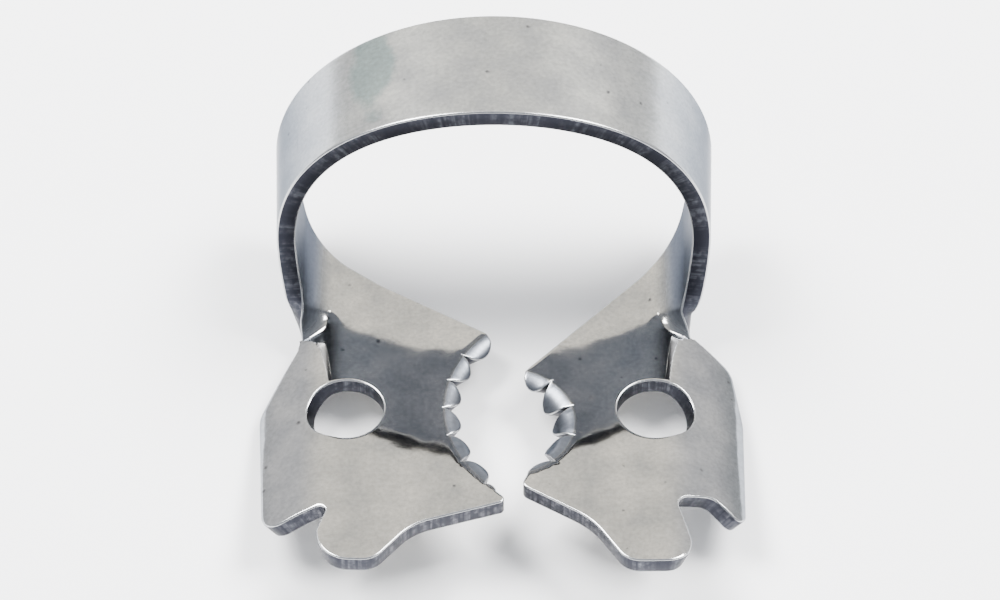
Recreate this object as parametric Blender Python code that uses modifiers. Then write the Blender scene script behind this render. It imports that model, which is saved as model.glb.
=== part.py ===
"""Rubber dam clamp: a bow and two winged, serrated jaws, folded from one piece of spring steel sheet.

The clamp is made here the way the real one is made. The flat blank is drawn first, with corners and
their radii. It is filled with points, folded into the bow, the wings and the bites, and given its
thickness. Last it is set down as it would lie on a table.

Sizes are in millimetres until the mesh is made. In the blank, q runs outward from the middle plane
along the sheet, and v runs from the front to the back.
"""
import math

import bmesh
import bpy
import numpy as np
from mathutils import Matrix, Vector, geometry

MM = 0.001

# The sheet
SHEET = 0.90
EDGE_ROUND = 0.07
EDGE_STEPS = 2

# The bow, measured to the middle of the sheet from the middle of the jaw plates
BOW_RISE = 12.7
BOW_HALF_WIDTH = 9.95
BOW_WIDEST_AT = 4.8
BOW_STRIP = 6.75
BOW_LEAN = 0.143
BOW_SETBACK = 2.26
BOW_SETBACK_AT = 10.0
BOW_FLARE = 0.04
FOOT_RADIUS = 2.5
FOOT_ANGLE = math.radians(80)

# Where the bow stops being bent up and the wing starts being bent down
NECK_V = -0.40
NECK_BLEND_AT = -0.80
NECK_BLEND = 0.8
FOOT_BLEND = 1.8
NECK_RADIUS = 0.50
FRONT_RUN = 1.6
REAR_RUN = 3.2

# The wings
RIDGE_FOLD = math.radians(18)
RIDGE_WIDTH = 1.2
WING_CURL = math.radians(24)
WING_REACH = 3.9

# The bites: what lies inside each hollow is bent down into teeth
BITE_ANGLE = math.radians(55)
BITE_RADIUS = 0.80
TOOTH_ROOT = 0.10
TOOTH_FULLNESS = 0.62
PRONG_FULLNESS = 0.42

# The holes for the forceps
HOLE_RADIUS = 1.80

# How finely the blank is divided
RIM_STEP = 0.50
RIM_BAND = 0.20
FLAT_STEP = 1.30
FOLD_STEP = 0.50
FOLD_ROW_STEP = 1.10
NECK_STEP = 0.30
BITE_STEP = 0.42
BITE_ROWS = 6
BITE_MARGIN = 0.25
CLEARANCE = 0.26
TOOTH_POINTS = 8
ARC_STEP = math.radians(24)
PATH_STEP = 0.02
CROWN_POINTS = 400
NECK_ROWS = 61
FINEST = 1e-6

# How far down a face of the hull must look for the clamp to rest on it
UNDERNEATH = 0.8

# Each jaw's own shape. A corner is q, v and its radius.
LEFT_JAW = {
    "side": -1,
    "neck": 9.30,
    "ridge": 7.9,
    "hole": (7.05, -5.70),
    "wing": [(9.50, -1.50, 0.8), (11.55, -4.85, 1.2), (11.05, -12.30, 1.0)],
    "notch": [(7.70, -11.50, 0.30), (8.20, -13.10, 0.8)],
    "lobe": [(7.95, -14.80, 1.4), (5.60, -14.90, 1.2), (3.80, -12.75, 3.0)],
    "front_tip": (-0.72, -11.35, 0.25),
    "hollow": (-4.12, -5.60, 6.65),
    "bitten": (-46.0, 30.5),
    "teeth": 5,
    "tooth_length": 0.62,
    "rear_prong": (30.5, 46.5),
    "prong_length": 0.62,
    "front_prong": (-52.0, -46.0),
    "front_bulge": 0.12,
    "bite_fade": (-60.0, -30.0),
    "rear_edge": [(5.60, 2.30, 6.0), (10.60, 6.05, 2.5)],
}
RIGHT_JAW = {
    "side": 1,
    "neck": 9.00,
    "ridge": 8.5,
    "hole": (7.70, -5.70),
    "wing": [(11.70, -2.15, 1.1), (12.30, -5.20, 3.0), (12.15, -11.70, 0.5)],
    "notch": [(10.30, -10.60, 0.9), (8.50, -11.10, 0.6), (9.15, -13.60, 1.0)],
    "lobe": [(8.95, -14.92, 1.1), (6.20, -14.95, 1.2), (4.60, -12.45, 4.0)],
    "front_tip": (1.30, -10.40, 0.35),
    "hollow": (0.55, -6.50, 3.50),
    "bitten": (-46.0, 49.0),
    "teeth": 3,
    "tooth_length": 1.10,
    "rear_prong": (49.0, 73.0),
    "prong_length": 0.62,
    "front_prong": (-72.0, -46.0),
    "front_bulge": 0.30,
    "bite_fade": (-85.0, -35.0),
    "rear_edge": [(7.60, 3.20, 4.0), (10.60, 6.05, 2.0)],
}


def smooth(t):
    """Runs from 0 to 1 with level ends."""
    t = np.clip(t, 0.0, 1.0)
    return t * t * (3.0 - 2.0 * t)


# The two fold profiles: how steep the sheet is at each q

def bow_profile():
    """The heading of the sheet from the plate up the leg to the crown, and its length."""
    leg_foot = FOOT_RADIUS * (1.0 - math.cos(FOOT_ANGLE))
    leg_radius = (BOW_WIDEST_AT - leg_foot) / math.cos(FOOT_ANGLE)
    leg_spread = leg_radius * (1.0 - math.sin(FOOT_ANGLE))
    foot_start = BOW_HALF_WIDTH - leg_spread - FOOT_RADIUS * math.sin(FOOT_ANGLE)
    crown_rise = BOW_RISE - BOW_WIDEST_AT

    foot_end = foot_start + FOOT_RADIUS * FOOT_ANGLE
    leg_end = foot_end + leg_radius * (math.pi / 2 - FOOT_ANGLE)
    turn = np.linspace(0.0, math.pi / 2, CROWN_POINTS)
    reach = np.hypot(BOW_HALF_WIDTH * np.sin(turn), crown_rise * np.cos(turn))
    crown = np.concatenate([[0.0], np.cumsum((reach[1:] + reach[:-1]) / 2 * np.diff(turn))])
    heading = np.arctan2(crown_rise * np.cos(turn), -BOW_HALF_WIDTH * np.sin(turn))

    length = leg_end + crown[-1]
    q = np.arange(0.0, length + PATH_STEP, PATH_STEP)
    angle = np.clip((q - foot_start) / FOOT_RADIUS, 0.0, FOOT_ANGLE)
    on_leg = q > foot_end
    angle[on_leg] = FOOT_ANGLE + (q[on_leg] - foot_end) / leg_radius
    on_crown = q > leg_end
    angle[on_crown] = np.interp(q[on_crown] - leg_end, crown, heading)
    return q, angle, length, foot_start


PATH_Q, BOW_ANGLE, BLANK_HALF, FOOT_START = bow_profile()


def wing_profile(jaw):
    """The heading of the sheet from the plate over the ridge and down the wing."""
    ridge = jaw["ridge"]
    fold = RIDGE_FOLD * smooth((PATH_Q - ridge) / RIDGE_WIDTH + 0.5)
    curl = WING_CURL * np.clip((PATH_Q - ridge) / WING_REACH, 0.0, 1.0)
    return -(fold + curl)


def path(angle):
    """Where the sheet gets to when it is followed along q with this heading."""
    middle = (angle[1:] + angle[:-1]) / 2
    x = np.concatenate([[0.0], np.cumsum(np.cos(middle)) * PATH_STEP])
    z = np.concatenate([[0.0], np.cumsum(np.sin(middle)) * PATH_STEP])
    return x, z


BOW_X, BOW_Z = path(BOW_ANGLE)


def bow_share(jaw, q, v):
    """1 where the sheet belongs to the bow, 0 where it belongs to the wing: a fan out of the neck."""
    inside = np.clip((jaw["neck"] - q) / (jaw["neck"] - FOOT_START), 0.0, 1.0)
    width = NECK_BLEND + (FOOT_BLEND - NECK_BLEND) * inside
    return smooth((v - NECK_BLEND_AT) / width)


def folded_rows(jaw):
    """The sheet's path at closely spaced v across the neck: the v of each row, and its x and z."""
    rows = np.linspace(NECK_BLEND_AT, NECK_BLEND_AT + FOOT_BLEND, NECK_ROWS)
    wing = wing_profile(jaw)
    paths = [path(wing + bow_share(jaw, PATH_Q, v) * (BOW_ANGLE - wing)) for v in rows]
    return rows, np.array([x for x, z in paths]), np.array([z for x, z in paths])


def between(table, row, along):
    """Reads a table between its rows and its columns."""
    i = np.clip(row.astype(int), 0, table.shape[0] - 2)
    k = np.clip(along.astype(int), 0, table.shape[1] - 2)
    row = np.clip(row - i, 0.0, 1.0)
    along = np.clip(along - k, 0.0, 1.0)
    here = (1.0 - along) * table[i, k] + along * table[i, k + 1]
    after = (1.0 - along) * table[i + 1, k] + along * table[i + 1, k + 1]
    return (1.0 - row) * here + row * after


def bite_share(jaw, angle):
    """How far the rim of the hollow is bent down: fully, but fading out along the front prong."""
    start, end = jaw["bite_fade"]
    return smooth((angle - start) / (end - start))


def bend_bite(jaw, q, v):
    """Bends what lies inside the hollow's rim down round it: the new q, v and height."""
    centre_q, centre_v, radius = jaw["hollow"]
    away = np.hypot(q - centre_q, v - centre_v)
    beyond = np.maximum(radius - away, 0.0)
    share = bite_share(jaw, np.degrees(np.arctan2(v - centre_v, q - centre_q)))
    full = BITE_ANGLE * share
    turned = np.minimum(beyond / BITE_RADIUS, full)
    straight = np.maximum(beyond - BITE_RADIUS * full, 0.0)
    inward = BITE_RADIUS * np.sin(turned) + straight * np.cos(turned)
    drop = BITE_RADIUS * (1.0 - np.cos(turned)) + straight * np.sin(turned)
    scale = np.where(beyond > 0.0, (radius - inward) / np.maximum(away, FINEST), 1.0)
    return centre_q + (q - centre_q) * scale, centre_v + (v - centre_v) * scale, -drop


def fold(points):
    """Folds points of the blank into space. A point is u, v, with u measured from the crown."""
    points = np.asarray(points, dtype=float)
    folded = np.zeros((len(points), 3))
    for jaw in (LEFT_JAW, RIGHT_JAW):
        mine = np.where((points[:, 0] > 0.0) == (jaw["side"] > 0))[0]
        q = BLANK_HALF - np.abs(points[mine, 0])
        v = points[mine, 1]
        rows, row_x, row_z = folded_rows(jaw)
        row = (v - rows[0]) / (rows[1] - rows[0])
        x = between(row_x, row, q / PATH_STEP)
        z = between(row_z, row, q / PATH_STEP)
        x = np.where(q < 0.0, q, x)
        bent_x, bent_v, drop = bend_bite(jaw, x, v)
        flat = q < FOOT_START - RIDGE_WIDTH
        x = np.where(flat, bent_x, x)
        y = np.where(flat, bent_v, v)
        z = np.where(flat, z + drop, z)
        flare = BOW_FLARE * np.maximum(v - NECK_V, 0.0) * np.clip(z / BOW_WIDEST_AT, 0.0, 1.0)
        x = x * (1.0 + flare / BOW_HALF_WIDTH)
        folded[mine] = np.stack([x * jaw["side"], y, z], axis=1)
    return folded


# The outline of the blank

def divided(start, end, step):
    """The points from start up to, but without, end."""
    count = max(1, math.ceil(math.dist(start, end) / step))
    share = np.arange(count)[:, None] / count
    return [tuple(p) for p in np.array(start) + share * (np.array(end) - np.array(start))]


def rounded(corners, step):
    """A run of straight edges whose inner corners are rounded: the first and last are kept sharp."""
    run = [corners[0][:2]]
    for before, corner, after in zip(corners, corners[1:], corners[2:]):
        here = Vector(corner[:2])
        back = (Vector(before[:2]) - here).normalized()
        on = (Vector(after[:2]) - here).normalized()
        half = back.angle(on) / 2
        tangent = corner[2] / math.tan(half)
        centre = here + (back + on).normalized() * (corner[2] / math.sin(half))
        first = here + back * tangent - centre
        last = here + on * tangent - centre
        sweep = first.angle_signed(last)
        count = max(2, math.ceil(abs(sweep) * corner[2] / step), math.ceil(abs(sweep) / ARC_STEP))
        for i in range(count + 1):
            turn = Matrix.Rotation(-sweep * i / count, 2)
            run.append(tuple(centre + turn @ first))
    run.append(corners[-1][:2])
    points = []
    for start, end in zip(run, run[1:]):
        points += divided(start, end, step)
    return points + [run[-1]]


def on_hollow(jaw, angle, beyond):
    """The blank's point at this angle round the hollow, so far beyond its rim."""
    centre_q, centre_v, radius = jaw["hollow"]
    turn = math.radians(angle)
    return (centre_q + (radius - beyond) * math.cos(turn), centre_v + (radius - beyond) * math.sin(turn))


def scallop(jaw, start, end, length, fullness):
    """One tooth or prong as a rounded lobe on the hollow's rim, without its last point."""
    points = []
    for i in range(TOOTH_POINTS):
        share = i / TOOTH_POINTS
        beyond = TOOTH_ROOT + length * math.sin(math.pi * share) ** fullness
        points.append(on_hollow(jaw, start + (end - start) * share, beyond))
    return points


def strip_front(q):
    """The front edge of the bow: it steps back as the legs rise and comes forward to the crown."""
    rise = np.interp(q, PATH_Q, BOW_Z)
    return NECK_V + BOW_SETBACK * np.sin(math.pi / 2 * rise / BOW_SETBACK_AT)


def strip_rear(q):
    """The rear edge of the bow: it leans back evenly."""
    return NECK_V + BOW_STRIP + BOW_LEAN * np.interp(q, PATH_Q, BOW_Z)


# Where the points that fill the blank start and end, from front to rear
BLANK_EXTENT = (-15.6, 9.1)


def half_outline(jaw):
    """One half of the blank's outline, from the crown's front edge round the jaw to its rear edge."""
    front_q = jaw["neck"] + FRONT_RUN
    strip_q = np.linspace(BLANK_HALF, front_q, math.ceil((BLANK_HALF - front_q) / RIM_STEP) + 1)
    points = [(q, float(strip_front(q))) for q in strip_q]

    neck = (jaw["neck"], NECK_V, NECK_RADIUS)
    corners = [points.pop() + (0.0,), neck] + jaw["wing"] + jaw["notch"] + jaw["lobe"]
    first_prong = on_hollow(jaw, jaw["front_prong"][0], TOOTH_ROOT)
    corners += [jaw["front_tip"], first_prong + (0.0,)]
    points += rounded(corners, RIM_STEP)[:-1]

    points += scallop(jaw, *jaw["front_prong"], jaw["front_bulge"], TOOTH_FULLNESS)
    start, end = jaw["bitten"]
    pitch = (end - start) / jaw["teeth"]
    for i in range(jaw["teeth"]):
        first = start + pitch * i
        points += scallop(jaw, first, first + pitch, jaw["tooth_length"], TOOTH_FULLNESS)
    points += scallop(jaw, *jaw["rear_prong"], jaw["prong_length"], PRONG_FULLNESS)

    prong_end = on_hollow(jaw, jaw["rear_prong"][1], TOOTH_ROOT)
    rear_q = jaw["neck"] + REAR_RUN
    strip_start = (rear_q, float(strip_rear(rear_q)), 0.0)
    points += rounded([prong_end + (0.0,)] + jaw["rear_edge"] + [strip_start], RIM_STEP)[:-1]
    strip_q = np.linspace(rear_q, BLANK_HALF, math.ceil((BLANK_HALF - rear_q) / RIM_STEP) + 1)
    points += [(q, float(strip_rear(q))) for q in strip_q]
    return points


def to_blank(jaw, points):
    """From a jaw's q, v to the whole blank's u, v."""
    return [(jaw["side"] * (BLANK_HALF - q), v) for q, v in points]


def circle(centre, radius, step):
    count = math.ceil(2 * math.pi * radius / step)
    turn = np.arange(count) * 2 * math.pi / count
    return [(centre[0] + radius * math.cos(t), centre[1] + radius * math.sin(t)) for t in turn]


# The points and the triangles inside the outline

def grid(q_range, v_range, q_step, v_step):
    """Points on a grid of the blank, with rows that run along the fold lines."""
    across = np.linspace(*q_range, max(2, round((q_range[1] - q_range[0]) / q_step) + 1))
    along = np.linspace(*v_range, max(2, round((v_range[1] - v_range[0]) / v_step) + 1))
    return [(float(q), float(v)) for q in across for v in along]


def fill_points(jaw):
    """The points across one half of the blank, close together where it is bent."""
    front, rear = BLANK_EXTENT
    ridge_start = jaw["ridge"] - RIDGE_WIDTH
    neck_rear = NECK_BLEND_AT + FOOT_BLEND
    neck_outside = jaw["neck"] + FOOT_BLEND / 2
    points = grid((0.0, FOOT_START), (front, rear), FLAT_STEP, FLAT_STEP)
    points += grid((FOOT_START, neck_outside), (neck_rear, rear), FOLD_STEP, FOLD_ROW_STEP)
    points += grid((neck_outside, BLANK_HALF), (NECK_V, rear), FOLD_STEP, FOLD_ROW_STEP)
    points += grid((FOOT_START, neck_outside), (NECK_BLEND_AT, neck_rear), NECK_STEP, NECK_STEP)
    wing_end = jaw["wing"][1][0] + FLAT_STEP
    points += grid((ridge_start, wing_end), (front, NECK_BLEND_AT), FOLD_STEP, FOLD_ROW_STEP)

    start = jaw["front_prong"][0]
    end = jaw["rear_prong"][1]
    for beyond in np.linspace(-BITE_MARGIN, jaw["tooth_length"], BITE_ROWS):
        radius = jaw["hollow"][2] - float(beyond)
        count = math.ceil(math.radians(end - start) * radius / BITE_STEP)
        for k in range(count + 1):
            points.append(on_hollow(jaw, start + (end - start) * k / count, float(beyond)))
    return points


def inset(loop, inward):
    """The loop moved into the sheet by the width of the rim band."""
    points = np.array(loop)
    ahead = np.roll(points, -1, axis=0) - points
    ahead /= np.hypot(*ahead.T)[:, None]
    behind = np.roll(ahead, 1, axis=0)
    normal = np.stack([-(ahead + behind)[:, 1], (ahead + behind)[:, 0]], axis=1)
    normal /= np.hypot(*normal.T)[:, None]
    x, y = points.T
    area = np.sum(x * np.roll(y, -1) - np.roll(x, -1) * y)
    return points + normal * RIM_BAND * inward * math.copysign(1.0, area)


def keep_inside(points, loops, clearance):
    """The points that lie inside the outline, outside the holes, and clear of both."""
    points = np.array(points)
    inside = np.zeros(len(points), dtype=bool)
    nearest = np.full(len(points), np.inf)
    for loop in loops:
        a = np.array(loop)
        b = np.roll(a, -1, axis=0)
        for (ax, ay), (bx, by) in zip(a, b):
            crosses = (ay > points[:, 1]) != (by > points[:, 1])
            if ay != by:
                at = ax + (points[:, 1] - ay) * (bx - ax) / (by - ay)
                inside ^= crosses & (points[:, 0] < at)
            edge = np.array([bx - ax, by - ay])
            along = ((points - (ax, ay)) @ edge) / max(edge @ edge, FINEST)
            foot = np.array([ax, ay]) + np.clip(along, 0.0, 1.0)[:, None] * edge
            nearest = np.minimum(nearest, np.hypot(*(points - foot).T))
    return points[inside & (nearest > clearance)]


def spaced(points, apart):
    """The points without those that lie too close to an earlier one."""
    kept = []
    for point in points:
        if not kept or np.min(np.hypot(*(np.array(kept) - point).T)) > apart:
            kept.append(tuple(point))
    return kept


def blank_mesh():
    """The flat blank: its points, a band of faces along each edge, and the triangles within."""
    left = to_blank(LEFT_JAW, half_outline(LEFT_JAW))
    right = to_blank(RIGHT_JAW, half_outline(RIGHT_JAW))
    outlines = [left[:-1] + right[::-1][:-1]]
    for jaw in (LEFT_JAW, RIGHT_JAW):
        outlines.append(to_blank(jaw, circle(jaw["hole"], HOLE_RADIUS, RIM_STEP)))

    rim = []
    inner = []
    band = []
    edges = []
    for i, outline in enumerate(outlines):
        first = len(rim)
        size = len(outline)
        rim += outline
        inner += [tuple(p) for p in inset(outline, 1.0 if i == 0 else -1.0)]
        for k in range(size):
            after = (k + 1) % size
            band.append((first + k, first + after))
            edges.append((first + k, first + after))

    fill = []
    for jaw in (LEFT_JAW, RIGHT_JAW):
        fill += to_blank(jaw, fill_points(jaw))
    loops = []
    first = 0
    for outline in outlines:
        loops.append(inner[first:first + len(outline)])
        first += len(outline)
    within = inner + spaced(keep_inside(fill, loops, CLEARANCE), CLEARANCE)

    flat = [Vector(p) for p in within]
    corners, _, triangles, _, _, _ = geometry.delaunay_2d_cdt(flat, edges, [], 1, FINEST)
    if len(corners) != len(within):
        print("the blank's edge band crosses itself near", [tuple(c) for c in corners[len(within):]])
    corners = np.array([tuple(p) for p in corners])
    middles = corners[np.array(triangles)].mean(axis=1)
    in_hole = np.zeros(len(triangles), dtype=bool)
    for jaw in (LEFT_JAW, RIGHT_JAW):
        centre = to_blank(jaw, [jaw["hole"]])[0]
        in_hole |= np.hypot(*(middles - centre).T) < HOLE_RADIUS + RIM_BAND

    start = len(rim)
    faces = [[a, b, start + b, start + a] for a, b in band]
    faces += [[start + i for i in face] for face, hole in zip(triangles, in_hole) if not hole]
    return np.concatenate([np.array(rim), corners]), faces


# From the folded blank to the finished clamp

def principled(name, colour, metallic, roughness):
    material = bpy.data.materials.new(name)
    material.use_nodes = True
    shader = material.node_tree.nodes["Principled BSDF"]
    shader.inputs["Base Color"].default_value = (*colour, 1.0)
    shader.inputs["Metallic"].default_value = metallic
    shader.inputs["Roughness"].default_value = roughness
    return material


def fold_clamp(collection):
    """The folded sheet with its thickness and its rounded edges, as one solid."""
    flat, faces = blank_mesh()
    middle = fold(flat) * MM
    mesh = bpy.data.meshes.new("folded_sheet")
    mesh.from_pydata([tuple(p) for p in middle], [], faces)
    mesh.materials.append(bpy.data.materials.new("sheet face"))
    mesh.materials.append(bpy.data.materials.new("cut face"))
    work = bmesh.new()
    work.from_mesh(mesh)
    bmesh.ops.recalc_face_normals(work, faces=work.faces)
    work.to_mesh(mesh)
    work.free()
    sheet = bpy.data.objects.new("folded_sheet", mesh)
    collection.objects.link(sheet)

    thick = sheet.modifiers.new("sheet thickness", "SOLIDIFY")
    thick.thickness = SHEET * MM
    thick.offset = 0.0
    thick.use_quality_normals = True
    thick.material_offset_rim = 1
    bpy.context.view_layer.update()
    evaluated = sheet.evaluated_get(bpy.context.evaluated_depsgraph_get())
    solid = bpy.data.meshes.new_from_object(evaluated)
    bpy.data.objects.remove(sheet)

    work = bmesh.new()
    work.from_mesh(solid)
    rims = [e for e in work.edges if len({face.material_index for face in e.link_faces}) == 2]
    bmesh.ops.bevel(work, geom=rims, offset=EDGE_ROUND * MM, offset_type="OFFSET", segments=EDGE_STEPS,
                    profile=0.5, affect="EDGES", clamp_overlap=False, loop_slide=True)
    for face in work.faces:
        face.material_index = 0
    work.to_mesh(solid)
    work.free()
    solid.materials.clear()
    return solid


def centre_of_mass(work):
    """The centre of mass of a closed, triangulated mesh."""
    total = 0.0
    moment = Vector()
    for face in work.faces:
        a, b, c = (v.co for v in face.verts)
        volume = a.dot(b.cross(c)) / 6.0
        total += volume
        moment += volume * (a + b + c) / 4.0
    return moment / total


def resting_turn(solid):
    """The turn that lays the clamp on the face of its hull that is under its centre of mass."""
    work = bmesh.new()
    work.from_mesh(solid)
    bmesh.ops.triangulate(work, faces=work.faces)
    centre = centre_of_mass(work)
    hull = bmesh.ops.convex_hull(work, input=work.verts)
    down = Vector((0.0, 0.0, -1.0))
    best = None
    for face in [f for f in hull["geom"] if isinstance(f, bmesh.types.BMFace)]:
        if face.normal.dot(down) < UNDERNEATH:
            continue
        foot = centre + face.normal * (face.verts[0].co - centre).dot(face.normal)
        sides = []
        for loop in face.loops:
            edge = loop.link_loop_next.vert.co - loop.vert.co
            sides.append(edge.cross(foot - loop.vert.co).dot(face.normal))
        if min(sides) >= 0.0:
            best = face.normal.copy()
    work.free()
    return best.rotation_difference(down).to_matrix().to_4x4()


def set_down(solid):
    """Lays the clamp as it rests, with its origin on the table under the middle of its box."""
    solid.transform(resting_turn(solid))
    corners = np.array([tuple(v.co) for v in solid.vertices])
    low = corners.min(axis=0)
    high = corners.max(axis=0)
    middle = (low + high) / 2
    solid.transform(Matrix.Translation((-middle[0], -middle[1], -low[2])))


def main():
    for old in list(bpy.data.objects):
        bpy.data.objects.remove(old)
    collection = bpy.data.collections.new("rubber_dam_clamp")
    bpy.context.scene.collection.children.link(collection)

    solid = fold_clamp(collection)
    set_down(solid)
    solid.name = "clamp"
    solid.materials.append(principled("spring steel", (0.45, 0.45, 0.44), 1.0, 0.28))
    solid.shade_smooth()
    solid.set_sharp_from_angle(angle=math.radians(35))
    clamp = bpy.data.objects.new("clamp", solid)
    collection.objects.link(clamp)
    print("clamp:", len(solid.polygons), "faces", "size in mm", [round(d / MM, 2) for d in clamp.dimensions])


main()
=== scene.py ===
# %% [markdown]
# Rubber dam clamp. A dentist's clamp that holds a rubber sheet round a tooth: one strip of spring steel,
# punched flat, then folded into a bow and two toothed jaws. This lesson folds the same blank again with
# a much finer mesh than the engineering model has, so that reflections run smoothly over every bend. Then
# it gives the steel its buffed faces, its sheared cuts, its tumbled edges and its light.

# %% Load the frame
import math

import bmesh
import bpy
import numpy as np
from mathutils import Matrix, Vector, geometry


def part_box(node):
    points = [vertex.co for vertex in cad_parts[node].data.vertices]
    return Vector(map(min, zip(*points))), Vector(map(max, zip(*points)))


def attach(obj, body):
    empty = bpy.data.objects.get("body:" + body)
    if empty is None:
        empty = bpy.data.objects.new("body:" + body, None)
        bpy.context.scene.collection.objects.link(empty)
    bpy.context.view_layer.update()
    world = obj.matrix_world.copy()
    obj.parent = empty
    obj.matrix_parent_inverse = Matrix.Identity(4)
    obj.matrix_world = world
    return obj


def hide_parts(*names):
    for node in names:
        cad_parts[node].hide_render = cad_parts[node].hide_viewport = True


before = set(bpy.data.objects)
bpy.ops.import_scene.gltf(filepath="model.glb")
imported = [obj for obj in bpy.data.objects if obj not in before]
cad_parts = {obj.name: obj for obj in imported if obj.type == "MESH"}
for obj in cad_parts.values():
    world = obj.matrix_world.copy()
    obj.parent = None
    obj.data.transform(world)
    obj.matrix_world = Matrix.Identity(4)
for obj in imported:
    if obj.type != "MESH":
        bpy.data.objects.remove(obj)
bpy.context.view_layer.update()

MM = 0.001

# %% [markdown]
# The blank. On the real clamp a press cuts its outline out of hard steel strip. Every size is in
# millimetres. In the blank, q runs outward from the middle plane along the sheet and v runs from the front
# to the back, so one table describes each jaw: corners as q, v and a radius, and stretches of the bitten
# hollow as angles round its centre.

# %% Each jaw's own corners
LEFT_JAW = {
    "side": -1,
    "neck": 9.30,
    "ridge": 7.9,
    "hole": (7.05, -5.70),
    "wing": [(9.50, -1.50, 0.8), (11.55, -4.85, 1.2), (11.05, -12.30, 1.0)],
    "notch": [(7.70, -11.50, 0.30), (8.20, -13.10, 0.8)],
    "lobe": [(7.95, -14.80, 1.4), (5.60, -14.90, 1.2), (3.80, -12.75, 3.0)],
    "front_tip": (-0.72, -11.35, 0.25),
    "hollow": (-4.12, -5.60, 6.65),
    "bitten": (-46.0, 30.5),
    "teeth": 5,
    "tooth_length": 0.62,
    "rear_prong": (30.5, 46.5),
    "prong_length": 0.62,
    "front_prong": (-52.0, -46.0),
    "front_bulge": 0.12,
    "bite_fade": (-60.0, -30.0),
    "rear_edge": [(5.60, 2.30, 6.0), (10.60, 6.05, 2.5)],
}
RIGHT_JAW = {
    "side": 1,
    "neck": 9.00,
    "ridge": 8.5,
    "hole": (7.70, -5.70),
    "wing": [(11.70, -2.15, 1.1), (12.30, -5.20, 3.0), (12.15, -11.70, 0.5)],
    "notch": [(10.30, -10.60, 0.9), (8.50, -11.10, 0.6), (9.15, -13.60, 1.0)],
    "lobe": [(8.95, -14.92, 1.1), (6.20, -14.95, 1.2), (4.60, -12.45, 4.0)],
    "front_tip": (1.30, -10.40, 0.35),
    "hollow": (0.55, -6.50, 3.50),
    "bitten": (-46.0, 49.0),
    "teeth": 3,
    "tooth_length": 1.10,
    "rear_prong": (49.0, 73.0),
    "prong_length": 0.62,
    "front_prong": (-72.0, -46.0),
    "front_bulge": 0.30,
    "bite_fade": (-85.0, -35.0),
    "rear_edge": [(7.60, 3.20, 4.0), (10.60, 6.05, 2.0)],
}
JAWS = (LEFT_JAW, RIGHT_JAW)
print("teeth on the left and right jaw:", [jaw["teeth"] for jaw in JAWS])

# %% [markdown]
# The folds. The sheet's heading, how steep it runs at each q, is written down once for the bow and once
# for the wing. Adding up small steps along a heading gives the folded shape. At the neck the two headings
# are mixed, which is what a press does to the steel there: it becomes a saddle.

# %% The bow's heading
# A tight arc at the foot, a slow arc up the leg, then a quarter of an ellipse to the crown.
BOW_RISE = 12.7
BOW_HALF_WIDTH = 9.95
BOW_WIDEST_AT = 4.8
FOOT_RADIUS = 2.5
FOOT_ANGLE = math.radians(80)
PATH_STEP = 0.02
CROWN_POINTS = 400


def bow_profile():
    leg_foot = FOOT_RADIUS * (1.0 - math.cos(FOOT_ANGLE))
    leg_radius = (BOW_WIDEST_AT - leg_foot) / math.cos(FOOT_ANGLE)
    leg_spread = leg_radius * (1.0 - math.sin(FOOT_ANGLE))
    foot_start = BOW_HALF_WIDTH - leg_spread - FOOT_RADIUS * math.sin(FOOT_ANGLE)
    crown_rise = BOW_RISE - BOW_WIDEST_AT
    foot_end = foot_start + FOOT_RADIUS * FOOT_ANGLE
    leg_end = foot_end + leg_radius * (math.pi / 2 - FOOT_ANGLE)
    turn = np.linspace(0.0, math.pi / 2, CROWN_POINTS)
    reach = np.hypot(BOW_HALF_WIDTH * np.sin(turn), crown_rise * np.cos(turn))
    crown = np.concatenate([[0.0], np.cumsum((reach[1:] + reach[:-1]) / 2 * np.diff(turn))])
    heading = np.arctan2(crown_rise * np.cos(turn), -BOW_HALF_WIDTH * np.sin(turn))
    length = leg_end + crown[-1]
    q = np.arange(0.0, length + PATH_STEP, PATH_STEP)
    angle = np.clip((q - foot_start) / FOOT_RADIUS, 0.0, FOOT_ANGLE)
    on_leg = q > foot_end
    angle[on_leg] = FOOT_ANGLE + (q[on_leg] - foot_end) / leg_radius
    on_crown = q > leg_end
    angle[on_crown] = np.interp(q[on_crown] - leg_end, crown, heading)
    return q, angle, length, foot_start


PATH_Q, BOW_ANGLE, BLANK_HALF, FOOT_START = bow_profile()
print("half the blank is", round(BLANK_HALF, 2), "mm long; the bow's foot starts at", round(FOOT_START, 2))


# %% From a heading to a path
def path(angle):
    middle = (angle[1:] + angle[:-1]) / 2
    x = np.concatenate([[0.0], np.cumsum(np.cos(middle)) * PATH_STEP])
    z = np.concatenate([[0.0], np.cumsum(np.sin(middle)) * PATH_STEP])
    return x, z


BOW_X, BOW_Z = path(BOW_ANGLE)
print("the bow's path is", round(2 * BOW_X.max(), 2), "mm wide and", round(BOW_Z.max(), 2), "mm high")


# %% The wing's heading, and how much of the bow's heading there is at each place
# Behind NECK_BLEND_AT the wing's heading gives way to the bow's, within NECK_BLEND at the neck and within
# the longer FOOT_BLEND at the bow's foot.
RIDGE_FOLD = math.radians(18)
RIDGE_WIDTH = 1.2
WING_CURL = math.radians(24)
WING_REACH = 3.9
NECK_BLEND_AT = -0.80
NECK_BLEND = 0.8
FOOT_BLEND = 1.8
NECK_ROWS = 121


def smooth(share):
    share = np.clip(share, 0.0, 1.0)
    return share * share * (3.0 - 2.0 * share)


def wing_heading(jaw):
    ridge_fold = RIDGE_FOLD * smooth((PATH_Q - jaw["ridge"]) / RIDGE_WIDTH + 0.5)
    curl = WING_CURL * np.clip((PATH_Q - jaw["ridge"]) / WING_REACH, 0.0, 1.0)
    return -(ridge_fold + curl)


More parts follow.
